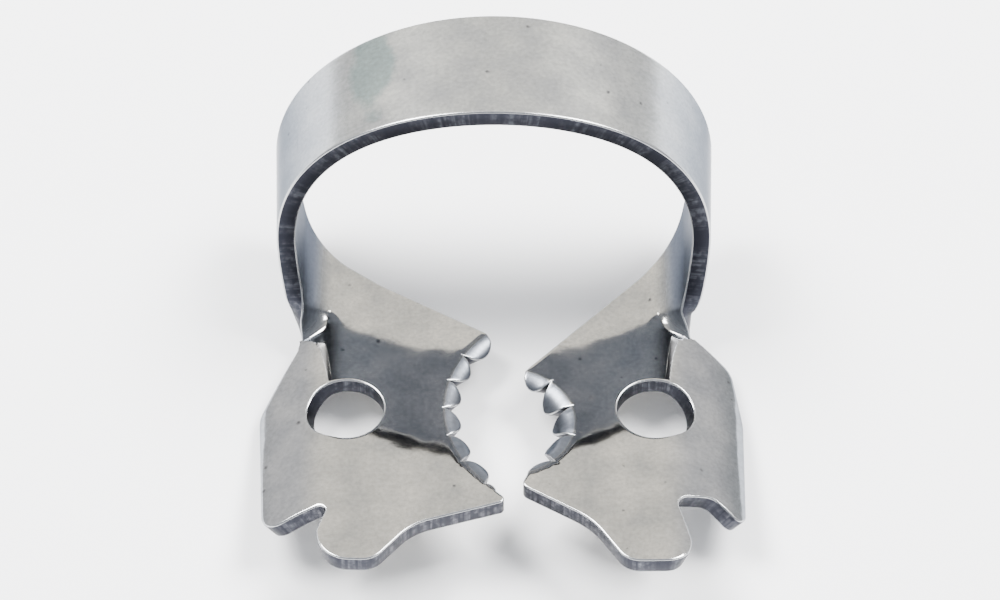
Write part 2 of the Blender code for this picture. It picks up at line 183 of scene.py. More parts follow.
def bow_share(jaw, q, v):
    inside = np.clip((jaw["neck"] - q) / (jaw["neck"] - FOOT_START), 0.0, 1.0)
    width = NECK_BLEND + (FOOT_BLEND - NECK_BLEND) * inside
    return smooth((v - NECK_BLEND_AT) / width)


# %% One folded path for each row across the neck
# Then between() reads such a table at any place, from the four values round it.
def folded_rows(jaw):
    rows = np.linspace(NECK_BLEND_AT, NECK_BLEND_AT + FOOT_BLEND, NECK_ROWS)
    wing = wing_heading(jaw)
    paths = [path(wing + bow_share(jaw, PATH_Q, v) * (BOW_ANGLE - wing)) for v in rows]
    return rows, np.array([x for x, z in paths]), np.array([z for x, z in paths])


def between(table, row, along):
    i = np.clip(row.astype(int), 0, table.shape[0] - 2)
    k = np.clip(along.astype(int), 0, table.shape[1] - 2)
    row = np.clip(row - i, 0.0, 1.0)
    along = np.clip(along - k, 0.0, 1.0)
    here = (1.0 - along) * table[i, k] + along * table[i, k + 1]
    after = (1.0 - along) * table[i + 1, k] + along * table[i + 1, k + 1]
    return (1.0 - row) * here + row * after


# %% [markdown]
# The bite. The teeth are bent down towards the gum over a rounded bend that follows the hollow's rim. The
# bend fades out towards the front tip, where the plate stays flat.

# %% Bend the bite
# FINEST is the length below which two points count as one.
BITE_ANGLE = math.radians(55)
BITE_RADIUS = 0.80
FINEST = 1e-6


def bend_bite(jaw, q, v):
    centre_q, centre_v, radius = jaw["hollow"]
    away = np.hypot(q - centre_q, v - centre_v)
    beyond = np.maximum(radius - away, 0.0)
    start, end = jaw["bite_fade"]
    around = np.degrees(np.arctan2(v - centre_v, q - centre_q))
    full = BITE_ANGLE * smooth((around - start) / (end - start))
    turned = np.minimum(beyond / BITE_RADIUS, full)
    straight = np.maximum(beyond - BITE_RADIUS * full, 0.0)
    inward = BITE_RADIUS * np.sin(turned) + straight * np.cos(turned)
    drop = BITE_RADIUS * (1.0 - np.cos(turned)) + straight * np.sin(turned)
    scale = np.where(beyond > 0.0, (radius - inward) / np.maximum(away, FINEST), 1.0)
    return centre_q + (q - centre_q) * scale, centre_v + (v - centre_v) * scale, -drop


# %% Fold the whole blank
# NECK_V is where the bow's front edge starts. The bow is a little wider at the back: its half width grows
# by BOW_FLARE for each millimetre of v.
NECK_V = -0.40
BOW_FLARE = 0.04


def fold(points):
    points = np.asarray(points, dtype=float)
    folded = np.zeros((len(points), 3))
    for jaw in JAWS:
        mine = np.where((points[:, 0] > 0.0) == (jaw["side"] > 0))[0]
        q = BLANK_HALF - np.abs(points[mine, 0])
        v = points[mine, 1]
        rows, row_x, row_z = folded_rows(jaw)
        row = (v - rows[0]) / (rows[1] - rows[0])
        x = between(row_x, row, q / PATH_STEP)
        z = between(row_z, row, q / PATH_STEP)
        # The left jaw's front tip reaches past the middle plane. It is flat there, so q is its place.
        x = np.where(q < 0.0, q, x)
        bent_x, bent_v, drop = bend_bite(jaw, x, v)
        on_plate = q < FOOT_START - RIDGE_WIDTH
        x = np.where(on_plate, bent_x, x)
        y = np.where(on_plate, bent_v, v)
        z = np.where(on_plate, z + drop, z)
        flare = BOW_FLARE * np.maximum(v - NECK_V, 0.0) * np.clip(z / BOW_WIDEST_AT, 0.0, 1.0)
        x = x * (1.0 + flare / BOW_HALF_WIDTH)
        folded[mine] = np.stack([x * jaw["side"], y, z], axis=1)
    return folded


# %% [markdown]
# The outline. Straight edges with rounded corners make the wings, notches and lobes. Each tooth is a
# rounded lobe set on the hollow's rim, so the serration is five or three copies of one small curve.

# %% Corners with radii
RIM_STEP = 0.20
ARC_STEP = math.radians(9)


def divided(start, end, step):
    count = max(1, math.ceil(math.dist(start, end) / step))
    share = np.arange(count)[:, None] / count
    return [tuple(p) for p in np.array(start) + share * (np.array(end) - np.array(start))]


def rounded(corners, step):
    run = [corners[0][:2]]
    for before, corner, after in zip(corners, corners[1:], corners[2:]):
        here = Vector(corner[:2])
        back = (Vector(before[:2]) - here).normalized()
        on = (Vector(after[:2]) - here).normalized()
        half = back.angle(on) / 2
        tangent = corner[2] / math.tan(half)
        centre = here + (back + on).normalized() * (corner[2] / math.sin(half))
        first = here + back * tangent - centre
        last = here + on * tangent - centre
        sweep = first.angle_signed(last)
        count = max(2, math.ceil(abs(sweep) * corner[2] / step), math.ceil(abs(sweep) / ARC_STEP))
        for i in range(count + 1):
            run.append(tuple(centre + Matrix.Rotation(-sweep * i / count, 2) @ first))
    run.append(corners[-1][:2])
    points = []
    for start, end in zip(run, run[1:]):
        points += divided(start, end, step)
    return points + [run[-1]]


# %% One tooth
# A fullness under 1 swells the half wave of a sine into a lobe with steep sides and a blunt end.
TOOTH_ROOT = 0.10
TOOTH_FULLNESS = 0.62
PRONG_FULLNESS = 0.42
TOOTH_POINTS = 24


def on_hollow(jaw, angle, beyond):
    centre_q, centre_v, radius = jaw["hollow"]
    turn = math.radians(angle)
    return (centre_q + (radius - beyond) * math.cos(turn), centre_v + (radius - beyond) * math.sin(turn))


def scallop(jaw, start, end, length, fullness):
    points = []
    for i in range(TOOTH_POINTS):
        share = i / TOOTH_POINTS
        beyond = TOOTH_ROOT + length * math.sin(math.pi * share) ** fullness
        points.append(on_hollow(jaw, start + (end - start) * share, beyond))
    return points


# %% The bow's strip
# Its front edge is set back as the bow rises, and its rear edge leans back, so the real strip is a curve.
BOW_STRIP = 6.75
BOW_LEAN = 0.143
BOW_SETBACK = 2.26
BOW_SETBACK_AT = 10.0


def strip_front(q):
    rise = np.interp(q, PATH_Q, BOW_Z)
    return NECK_V + BOW_SETBACK * np.sin(math.pi / 2 * rise / BOW_SETBACK_AT)


def strip_rear(q):
    return NECK_V + BOW_STRIP + BOW_LEAN * np.interp(q, PATH_Q, BOW_Z)


# %% Half of the blank's outline
NECK_RADIUS = 0.50
FRONT_RUN = 1.6
REAR_RUN = 3.2


def half_outline(jaw):
    front_q = jaw["neck"] + FRONT_RUN
    strip_q = np.linspace(BLANK_HALF, front_q, math.ceil((BLANK_HALF - front_q) / RIM_STEP) + 1)
    points = [(q, float(strip_front(q))) for q in strip_q]
    neck = (jaw["neck"], NECK_V, NECK_RADIUS)
    corners = [points.pop() + (0.0,), neck] + jaw["wing"] + jaw["notch"] + jaw["lobe"]
    first_prong = on_hollow(jaw, jaw["front_prong"][0], TOOTH_ROOT)
    corners += [jaw["front_tip"], first_prong + (0.0,)]
    points += rounded(corners, RIM_STEP)[:-1]

    points += scallop(jaw, *jaw["front_prong"], jaw["front_bulge"], TOOTH_FULLNESS)
    start, end = jaw["bitten"]
    pitch = (end - start) / jaw["teeth"]
    for i in range(jaw["teeth"]):
        first = start + pitch * i
        points += scallop(jaw, first, first + pitch, jaw["tooth_length"], TOOTH_FULLNESS)
    points += scallop(jaw, *jaw["rear_prong"], jaw["prong_length"], PRONG_FULLNESS)

    prong_end = on_hollow(jaw, jaw["rear_prong"][1], TOOTH_ROOT)
    rear_q = jaw["neck"] + REAR_RUN
    strip_start = (rear_q, float(strip_rear(rear_q)), 0.0)
    points += rounded([prong_end + (0.0,)] + jaw["rear_edge"] + [strip_start], RIM_STEP)[:-1]
    strip_q = np.linspace(rear_q, BLANK_HALF, math.ceil((BLANK_HALF - rear_q) / RIM_STEP) + 1)
    return points + [(q, float(strip_rear(q))) for q in strip_q]


# %% Both halves and the two holes
# In the whole blank, x is zero in the middle of the bow.
HOLE_RADIUS = 1.80


def to_blank(jaw, points):
    return [(jaw["side"] * (BLANK_HALF - q), v) for q, v in points]


def circle(centre, radius, step):
    turn = np.arange(math.ceil(2 * math.pi * radius / step)) * step / radius
    return [(centre[0] + radius * math.cos(t), centre[1] + radius * math.sin(t)) for t in turn]


halves = [to_blank(jaw, half_outline(jaw)) for jaw in JAWS]
OUTLINES = [halves[0][:-1] + halves[1][::-1][:-1]]
for jaw in JAWS:
    OUTLINES.append(to_blank(jaw, circle(jaw["hole"], HOLE_RADIUS, RIM_STEP)))
print("points on the outline and the two holes:", [len(loop) for loop in OUTLINES])


# %% [markdown]
# Filling the outline. A band of even quads follows every edge, because a bevel is only clean where the
# faces beside it are regular. The rest is filled with rows of points and joined by a Delaunay
# triangulation. A reflection shows every facet of a polished bend, so a bend gets a row of points every
# fifth of a millimetre or closer. The flat plates need almost none.

# %% Points inside the outline
FRONT_MOST = -15.6
REAR_MOST = 9.1
FLAT_STEP = 0.90
FOLD_STEP = 0.20
FOLD_ROW_STEP = 0.50
NECK_STEP = 0.15
BITE_STEP = 0.15
BITE_ROWS = 12
BITE_MARGIN = 0.25


def grid(q_range, v_range, q_step, v_step):
    across = np.linspace(*q_range, max(2, round((q_range[1] - q_range[0]) / q_step) + 1))
    along = np.linspace(*v_range, max(2, round((v_range[1] - v_range[0]) / v_step) + 1))
    return [(float(q), float(v)) for q in across for v in along]


def fill_points(jaw):
    neck_rear = NECK_BLEND_AT + FOOT_BLEND
    neck_outside = jaw["neck"] + FOOT_BLEND / 2
    start = jaw["front_prong"][0]
    end = jaw["rear_prong"][1]
    points = []
    for beyond in np.linspace(-BITE_MARGIN, jaw["tooth_length"], BITE_ROWS):
        radius = jaw["hollow"][2] - float(beyond)
        count = math.ceil(math.radians(end - start) * radius / BITE_STEP)
        for k in range(count + 1):
            points.append(on_hollow(jaw, start + (end - start) * k / count, float(beyond)))
    points += grid((FOOT_START, neck_outside), (NECK_BLEND_AT, neck_rear), NECK_STEP, NECK_STEP)
    points += grid((FOOT_START, neck_outside), (neck_rear, REAR_MOST), FOLD_STEP, FOLD_ROW_STEP)
    points += grid((neck_outside, BLANK_HALF), (NECK_V, REAR_MOST), FOLD_STEP, FOLD_ROW_STEP)
    ridge_start = jaw["ridge"] - RIDGE_WIDTH
    wing_end = jaw["wing"][1][0] + FLAT_STEP
    points += grid((ridge_start, wing_end), (FRONT_MOST, NECK_BLEND_AT), FOLD_STEP, FOLD_ROW_STEP)
    points += grid((0.0, ridge_start), (FRONT_MOST, REAR_MOST), FLAT_STEP, FLAT_STEP)
    return points


# %% The band along the rim, and what stays clear of it
# A point is inside if a straight line from it crosses the loops an odd number of times. Points closer
# together than the clearance are thinned out, because slivers between them would show in the polish.
RIM_BAND = 0.16
CLEARANCE = 0.10


def inset(loop, inward):
    points = np.array(loop)
    ahead = np.roll(points, -1, axis=0) - points
    ahead /= np.hypot(*ahead.T)[:, None]
    behind = np.roll(ahead, 1, axis=0)
    normal = np.stack([-(ahead + behind)[:, 1], (ahead + behind)[:, 0]], axis=1)
    normal /= np.hypot(*normal.T)[:, None]
    x, y = points.T
    area = np.sum(x * np.roll(y, -1) - np.roll(x, -1) * y)
    return points + normal * RIM_BAND * inward * math.copysign(1.0, area)


def keep_inside(points, loops, clearance):
    points = np.array(points)
    inside = np.zeros(len(points), dtype=bool)
    nearest = np.full(len(points), np.inf)
    for loop in loops:
        a = np.array(loop)
        for (ax, ay), (bx, by) in zip(a, np.roll(a, -1, axis=0)):
            if ay != by:
                crosses = (ay > points[:, 1]) != (by > points[:, 1])
                inside ^= crosses & (points[:, 0] < ax + (points[:, 1] - ay) * (bx - ax) / (by - ay))
            edge = np.array([bx - ax, by - ay])
            along = np.clip(((points - (ax, ay)) @ edge) / (edge @ edge), 0.0, 1.0)
            nearest = np.minimum(nearest, np.hypot(*(points - (ax, ay) - along[:, None] * edge).T))
    return points[inside & (nearest > clearance)]


def spaced(points, apart):
    cells = {}
    kept = []
    for x, y in points:
        i, k = math.floor(x / apart), math.floor(y / apart)
        around = [(i + across, k + down) for across in (-1, 0, 1) for down in (-1, 0, 1)]
        near = [p for cell in around for p in cells.get(cell, [])]
        if all(math.dist(p, (x, y)) > apart for p in near):
            cells.setdefault((i, k), []).append((x, y))
            kept.append((float(x), float(y)))
    return kept


# %% Triangles of the blank
# Delaunay output type 1 keeps only the triangles inside the band's edges.
INSIDE_ONLY = 1


def blank_mesh():
    rim, inner, band, loops = [], [], [], []
    for i, outline in enumerate(OUTLINES):
        first = len(rim)
        size = len(outline)
        rim += outline
        loops.append([tuple(p) for p in inset(outline, 1.0 if i == 0 else -1.0)])
        inner += loops[-1]
        band += [(first + k, first + (k + 1) % size) for k in range(size)]
    fill = [p for jaw in JAWS for p in to_blank(jaw, fill_points(jaw))]
    within = inner + spaced(keep_inside(fill, loops, CLEARANCE), CLEARANCE)
    within = [Vector(p) for p in within]
    corners, _, triangles, *_ = geometry.delaunay_2d_cdt(within, band, [], INSIDE_ONLY, FINEST)
    corners = np.array([tuple(p) for p in corners])
    middles = corners[np.array(triangles)].mean(axis=1)
    in_hole = np.zeros(len(triangles), dtype=bool)
    for jaw in JAWS:
        centre = to_blank(jaw, [jaw["hole"]])[0]
        in_hole |= np.hypot(*(middles - centre).T) < HOLE_RADIUS + RIM_BAND
    start = len(rim)
    faces = [[a, b, start + b, start + a] for a, b in band]
    faces += [[start + i for i in face] for face, hole in zip(triangles, in_hole) if not hole]
    return np.concatenate([np.array(rim), corners]), faces


flat, flat_faces = blank_mesh()
print("the blank has", len(flat), "points and", len(flat_faces), "faces")

# %% [markdown]
# Thickness and edges. Solidify gives the folded sheet its 0.9 mm and marks the cut faces with a second
# material, and a bevel on the edges between sheet and cut is the small radius that tumbling leaves. The
# blank's own millimetres are kept as a UV map, so every later pattern can follow the sheet round its bends.

# %% Fold the sheet
mesh = bpy.data.meshes.new("folded_sheet")
mesh.from_pydata([tuple(p) for p in fold(flat) * MM], [], flat_faces)
work = bmesh.new()
work.from_mesh(mesh)
blank_uv = work.loops.layers.uv.new("blank")
for face in work.faces:
    for loop in face.loops:
        loop[blank_uv].uv = flat[loop.vert.index]
bmesh.ops.recalc_face_normals(work, faces=work.faces)
if sum((face.normal.z for face in work.faces)) < 0.0:
    bmesh.ops.reverse_faces(work, faces=work.faces)
work.to_mesh(mesh)
work.free()
# Three empty slots, for the sheet, its cut faces and its rounded edges.
for name in ("sheet", "cut", "round"):
    mesh.materials.append(bpy.data.materials.new(name))
clamp = bpy.data.objects.new("folded_clamp", mesh)
bpy.context.scene.collection.objects.link(clamp)
print("the folded sheet measures", [round(float(c) / MM, 2) for c in clamp.dimensions], "mm")

# %% Thicken it
SHEET = 0.90
CUT_SLOT = 1
thick = clamp.modifiers.new("sheet thickness", "SOLIDIFY")
thick.thickness = SHEET * MM
thick.offset = 0.0
thick.use_quality_normals = True
thick.material_offset_rim = CUT_SLOT
bpy.context.view_layer.update()
solid = bpy.data.meshes.new_from_object(clamp.evaluated_get(bpy.context.evaluated_depsgraph_get()))
clamp.modifiers.clear()
clamp.data = solid

# %% Mark the side of the sheet that faces up on the jaws and inward on the bow
# Solidify lists one side's points first and then the other's, in the same order.
PLATE_MARGIN = 1.0
heights = np.array([v.co.z for v in solid.vertices])
on_jaws = np.where(BLANK_HALF - np.abs(flat[:, 0]) < FOOT_START - PLATE_MARGIN)[0]
first_is_top = heights[on_jaws].mean() > heights[on_jaws + len(flat)].mean()
is_top = (np.arange(len(heights)) < len(flat)) == first_is_top
top_side = solid.attributes.new("top_side", "FLOAT", "POINT")
top_side.data.foreach_set("value", is_top.astype(float))
print("points on the upper side:", int(is_top.sum()), "of", len(is_top))

# %% Round the edges
EDGE_ROUND = 0.07
EDGE_STEPS = 3
ROUND_SLOT = 2
work = bmesh.new()
work.from_mesh(solid)
edges = [e for e in work.edges if len({face.material_index for face in e.link_faces}) == 2]
bmesh.ops.bevel(work, geom=edges, offset=EDGE_ROUND * MM, offset_type="OFFSET", segments=EDGE_STEPS,
                profile=0.5, affect="EDGES", clamp_overlap=False, loop_slide=True, material=ROUND_SLOT)
work.to_mesh(solid)
work.free()
print("the clamp has", sum(len(p.vertices) - 2 for p in solid.polygons), "triangles")

# %% [markdown]
# Laying it down. The engineering model already lies as the clamp rests. Its largest flat, the top of the
# jaws, gives the turn; its box gives the place.

# %% Lay the finer clamp where the engineering model lies
FACING_UP = 0.9
flats = {}
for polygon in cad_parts["clamp"].data.polygons:
    if polygon.normal.z > FACING_UP:
        key = tuple(round(c, 2) for c in polygon.normal)
        total = flats.setdefault(key, [0.0, Vector()])
        total[0] += polygon.area
        total[1] += polygon.normal * polygon.area
jaw_normal = max(flats.values(), key=lambda total: total[0])[1].normalized()
turn = Vector((0.0, 0.0, 1.0)).rotation_difference(jaw_normal).to_matrix().to_4x4()
solid.transform(turn)
places = np.array([tuple(v.co) for v in solid.vertices])
low, high = places.min(axis=0), places.max(axis=0)
cad_low, cad_high = (np.array(corner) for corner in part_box("clamp"))
shift = Vector(((cad_low + cad_high - low - high) / 2)[:2].tolist() + [float(cad_low[2] - low[2])])
solid.transform(Matrix.Translation(shift))
place = Matrix.Translation(shift) @ turn
print("jaws lean back by", round(math.degrees(jaw_normal.angle((0, 0, 1))), 2), "degrees")
print("box, finer minus engineering, in mm:", ((high - low) - (cad_high - cad_low)) / MM)

# %% Smooth bends, flat flats, and its place in the frame
solid.shade_smooth()
solid.set_sharp_from_angle(angle=math.radians(60))
normals = clamp.modifiers.new("flat faces stay flat", "WEIGHTED_NORMAL")
normals.keep_sharp = True
normals.weight = 90
clamp.name = "clamp_steel"
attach(clamp, "root")
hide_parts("clamp")
print("piece:", clamp.name)


# %% [markdown]
# Spring steel. The strip is rolled smooth, punched, hardened in an oven and then buffed. It could be one
# plain metal, but the real one is not: the wheel reaches the flat jaws best and makes them a mirror, the
# outside of the bow stays satin, and the inside of the bow keeps the grey oven skin. That skin is drawn
# darker still, and darkest under the crown, as painted shade for the side that faces down. So one steel
# changes along the blank, and the mirror of the jaws shows the dark inside of the bow as a sharp grey band.

# %% Colours, and one helper for nodes
def linear(hex_colour):
    channels = [int(hex_colour[i:i + 2], 16) / 255 for i in (1, 3, 5)]
    return [c / 12.92 if c <= 0.04045 else ((c + 0.055) / 1.055) ** 2.4 for c in channels] + [1.0]


def add(tree, kind, inputs=None, **settings):
    node = tree.nodes.new(kind)
    for name, value in settings.items():
        setattr(node, name, value)
    for name, value in (inputs or {}).items():
        if isinstance(value, bpy.types.NodeSocket):
            tree.links.new(value, node.inputs[name])
        else:
            node.inputs[name].default_value = value
    return node


def new_material(name):
    material = bpy.data.materials.new(name)
    material.use_nodes = True
    tree = material.node_tree
    return material, tree, tree.nodes["Principled BSDF"]


# %% How far along the blank each finish starts and is complete
# The blank's x runs along the strip from the middle of the bow, its y from the front to the back.
steel, tree, shader = new_material("buffed_spring_steel")
blank = add(tree, "ShaderNodeUVMap", uv_map="blank").outputs["UV"]
along = add(tree, "ShaderNodeSeparateXYZ", {"Vector": blank})
from_crown = add(tree, "ShaderNodeMath", {0: along.outputs["X"]}, operation="ABSOLUTE").outputs[0]
STARTS_AND_ENDS = {
    "off_plate": (BLANK_HALF - 7.9, BLANK_HALF - 9.6),
    "down_the_leg": (4.0, 10.5),
    "past_ridge": (BLANK_HALF - 7.7, BLANK_HALF - 9.3),
    "at_wing_edge": (BLANK_HALF - 10.2, BLANK_HALF - 11.8),
}
share = {}
for name, (start, end) in STARTS_AND_ENDS.items():
    fade = add(tree, "ShaderNodeMapRange", {"Value": from_crown, "From Min": start, "From Max": end},
               interpolation_type="SMOOTHSTEP")
    share[name] = fade.outputs["Result"]
NECK_FADE = 0.9
behind_neck = add(tree, "ShaderNodeMapRange",
                  {"Value": along.outputs["Y"], "From Min": NECK_V - NECK_FADE,
                   "From Max": NECK_V + NECK_FADE}, interpolation_type="SMOOTHSTEP").outputs["Result"]
before_neck = add(tree, "ShaderNodeMath", {0: 1.0, 1: behind_neck}, operation="SUBTRACT").outputs[0]
marked = add(tree, "ShaderNodeAttribute", attribute_name="top_side", attribute_type="GEOMETRY")
top_mask = marked.outputs["Fac"]
outside = add(tree, "ShaderNodeMath", {0: 1.0, 1: top_mask}, operation="SUBTRACT").outputs[0]

# %% Masks for bow, leg, wing, wing's edge, the bow's inside and the bite
PAIRS = {
    "bow": (share["off_plate"], behind_neck),
    "wing": (share["past_ridge"], before_neck),
    # Painted shade: this is the mask of the wing's curled outer edge, which is coloured darker.
    "painted_shade_wing_edge": (share["at_wing_edge"], before_neck),
}
mask = {}
for name, (one, other) in PAIRS.items():
    mask[name] = add(tree, "ShaderNodeMath", {0: one, 1: other}, operation="MULTIPLY").outputs[0]
# The leg mask carries painted shade: the steep outer sides of the bow are coloured darker than the crown.
for name, other in (("leg", share["down_the_leg"]), ("inside", top_mask)):
    mask[name] = add(tree, "ShaderNodeMath", {0: mask["bow"], 1: other}, operation="MULTIPLY").outputs[0]
# The bite mask also carries painted shade: the teeth bent down towards the paper are coloured dark.
BITE_FADE = 0.15
mask["bite"] = 0.0
for jaw in JAWS:
    centre_q, centre_v, radius = jaw["hollow"]
    centre = (jaw["side"] * (BLANK_HALF - centre_q), centre_v, 0.0)
    away = add(tree, "ShaderNodeVectorMath", {0: blank, 1: centre}, operation="DISTANCE").outputs["Value"]
    bitten = add(tree, "ShaderNodeMapRange",
                 {"Value": away, "From Min": radius, "From Max": radius - BITE_FADE}).outputs["Result"]
    either = add(tree, "ShaderNodeMath", {0: bitten, 1: mask["bite"]}, operation="MAXIMUM")
    mask["bite"] = either.outputs[0]
print("masks on the steel:", list(mask))

# %% Clouds and grain
# Clouds of about 2 mm are where the wheel pressed harder. The grain is under 0.1 mm on the real steel and
# is drawn at 0.2 mm, so that the picture can show it. The blank's UV map is in millimetres, so a noise's
# scale is one divided by its size.
CLOUD = 2.222
GRAIN = 0.2222
clouds = add(tree, "ShaderNodeTexNoise",
             {"Vector": blank, "Scale": 1 / CLOUD, "Detail": 4.0, "Roughness": 0.55})
polish_and_painted_light = add(tree, "ShaderNodeMapRange",
            {"Value": clouds.outputs["Fac"], "From Min": 0.32, "From Max": 0.68}).outputs["Result"]
grain = add(tree, "ShaderNodeTexNoise",
            {"Vector": blank, "Scale": 1 / GRAIN, "Detail": 3.0, "Roughness": 0.6})
grain_tone = add(tree, "ShaderNodeMapRange",
                 {"Value": grain.outputs["Fac"], "From Min": 0.30, "From Max": 0.70, "To Min": 0.87,
                  "To Max": 1.13}).outputs["Result"]

# %% Pits
# Oven scale broke out here and there. Each cell of 1.8 mm may hold one ragged pit of up to 0.3 mm, and two
# cells in five do.
PIT_SPACING = 1.818
PIT_RADIUS = 0.1454
PIT_SLOPE = 0.1091
PIT_RAGGED = 0.25
CELLS_WITHOUT = 0.60
ragged = add(tree, "ShaderNodeVectorMath",
             {0: grain.outputs["Color"], 1: (PIT_RAGGED, PIT_RAGGED, 0.0), 2: blank},
             operation="MULTIPLY_ADD").outputs["Vector"]
pit_cells = add(tree, "ShaderNodeTexVoronoi", {"Vector": ragged, "Scale": 1 / PIT_SPACING},
                voronoi_dimensions="2D")
pit_choice = add(tree, "ShaderNodeSeparateXYZ", {"Vector": pit_cells.outputs["Color"]})
pit_size = add(tree, "ShaderNodeMapRange",
               {"Value": pit_choice.outputs["X"], "From Min": CELLS_WITHOUT, "From Max": 1.0, "To Min": 0.0,
                "To Max": PIT_RADIUS / PIT_SPACING}).outputs["Result"]
pit_depth = add(tree, "ShaderNodeMath", {0: pit_size, 1: pit_cells.outputs["Distance"]}, operation="SUBTRACT")
pits = add(tree, "ShaderNodeMapRange",
           {"Value": pit_depth.outputs[0], "From Min": 0.0,
            "From Max": PIT_SLOPE / PIT_SPACING}).outputs["Result"]

# %% One heat stain on the bow
# Hardening leaves a patch of blue-green oxide near the crown that the wheel only half removed. It is about
# 2 by 6 mm, and the clouds make its edge ragged.
STAIN_AT = (-5.7, 5.7, 0.0)
STAIN_NARROWED = (0.9, 0.36, 0.0)
STAIN_RAGGED = 1.6
STAIN_ENDS = (1.9, 1.6)
from_stain = add(tree, "ShaderNodeVectorMath", {0: blank, 1: STAIN_AT}, operation="SUBTRACT")
stain_shape = add(tree, "ShaderNodeVectorMath", {0: from_stain.outputs["Vector"], 1: STAIN_NARROWED},
                  operation="MULTIPLY").outputs["Vector"]
stain_reach = add(tree, "ShaderNodeVectorMath", {0: stain_shape}, operation="LENGTH").outputs["Value"]
stain_edge = add(tree, "ShaderNodeMath", {0: clouds.outputs["Fac"], 1: STAIN_RAGGED, 2: stain_reach},
                 operation="MULTIPLY_ADD").outputs[0]
stain = add(tree, "ShaderNodeMapRange",
            {"Value": stain_edge, "From Min": STAIN_ENDS[0], "From Max": STAIN_ENDS[1],
             "To Max": 0.65}).outputs["Result"]
stain_mask = add(tree, "ShaderNodeMath", {0: stain, 1: outside}, operation="MULTIPLY").outputs[0]

# %% Colour of the steel
# Each finish, and each row of painted shade, lies over the one before, between its darker and its lighter
# colour.
FINISHES_AND_PAINTED_SHADE = (
    ("wing", polish_and_painted_light, "#8E9095", "#ADADAF"),
    # Painted shade: the curled outer edge of each wing is drawn darker, in place of the bright paper it would
    # mirror.
    ("painted_shade_wing_edge", polish_and_painted_light, "#767A7F", "#86898D"),
    ("bow", polish_and_painted_light, "#ABACAD", "#C2C2BD"),
    # Painted shade: the bow's steep sides are drawn darker than the crown, for how the light falls on them.
    ("leg", polish_and_painted_light, "#85898E", "#929599"),
    # Grey oven skin and painted shade: the inside of the bow is darkest under the crown, where it faces down.
    ("inside", share["down_the_leg"], "#45484F", "#4F535B"),
    # Painted shade: the teeth bent down towards the paper are drawn dark grey.
    ("bite", polish_and_painted_light, "#5A5E65", "#6A6D73"),
)
colour = add(tree, "ShaderNodeMix", {0: polish_and_painted_light, 6: linear("#A9A8A4"), 7: linear("#CCC8BF")},
             data_type="RGBA").outputs[2]
for name, varied_by, darker, lighter in FINISHES_AND_PAINTED_SHADE:
    layer_colour = add(tree, "ShaderNodeMix", {0: varied_by, 6: linear(darker), 7: linear(lighter)},
                 data_type="RGBA").outputs[2]
    colour = add(tree, "ShaderNodeMix", {0: mask[name], 6: colour, 7: layer_colour},
                 data_type="RGBA").outputs[2]
stained = add(tree, "ShaderNodeMix", {0: stain_mask, 6: colour, 7: linear("#7D9392")}, data_type="RGBA")
grained = add(tree, "ShaderNodeMix", {0: 1.0, 6: stained.outputs[2], 7: grain_tone}, data_type="RGBA",
              blend_type="MULTIPLY")
pitted = add(tree, "ShaderNodeMix", {0: pits, 6: grained.outputs[2], 7: linear("#58585A")}, data_type="RGBA")
tree.links.new(pitted.outputs[2], shader.inputs["Base Color"])
shader.inputs["Metallic"].default_value = 1.0

# %% Light that comes in flat
# Fine scratches swallow it, so the sides of the bow stay grey where a perfect mirror goes white.
flat_light = add(tree, "ShaderNodeMix", {0: mask["inside"], 6: linear("#9A9DA2"), 7: linear("#B8BABE")},
                 data_type="RGBA")
tree.links.new(flat_light.outputs[2], shader.inputs["Specular Tint"])

# %% Polish of the steel
# A mirror on the jaws, satin on the bow, and dull where the wheel doesn't reach. The bumps are a thousandth
# of a millimetre for the grain and eight for the slow waves that make the mirrored band's border uneven.
WAVE = 1.667
WAVE_DEPTH = 0.008
GRAIN_DEPTH = 0.001
haze = add(tree, "ShaderNodeMapRange", {"Value": polish_and_painted_light, "To Min": 0.045, "To Max": 0.07}).outputs["Result"]
for name, polished, dull in (("bow", 0.18, 0.23), ("inside", 0.36, 0.42)):
    own_haze = add(tree, "ShaderNodeMapRange", {"Value": polish_and_painted_light, "To Min": polished, "To Max": dull})
    haze = add(tree, "ShaderNodeMix",
               {"Factor": mask[name], "A": haze, "B": own_haze.outputs["Result"]}).outputs["Result"]
haze = add(tree, "ShaderNodeMix", {"Factor": mask["bite"], "A": haze, "B": 0.32}).outputs["Result"]
tree.links.new(haze, shader.inputs["Roughness"])
relief = add(tree, "ShaderNodeMath", {0: grain.outputs["Fac"], 1: pits}, operation="SUBTRACT").outputs[0]
fine_bump = add(tree, "ShaderNodeBump", {"Height": relief, "Strength": 0.3, "Distance": GRAIN_DEPTH * MM})
waves = add(tree, "ShaderNodeTexNoise", {"Vector": blank, "Scale": 1 / WAVE, "Detail": 1.0}).outputs["Fac"]
wavy_bump = add(tree, "ShaderNodeBump",
                {"Height": waves, "Strength": 1.0, "Distance": WAVE_DEPTH * MM,
                 "Normal": fine_bump.outputs["Normal"]})
tree.links.new(wavy_bump.outputs["Normal"], shader.inputs["Normal"])
print(steel.name, "has", len(tree.nodes), "nodes")

# %% [markdown]
# The cut faces. A press shears the strip: the punch draws fine lines through the sheet's thickness, and
# hardening leaves them blue-black, since no buffing wheel reaches into them. On the jaws' front edges the
# lines are drawn brighter, as a painted reflection of the lit paper in front, less on the wings, and on the
# lobes' ends they are dimmed as painted shade.

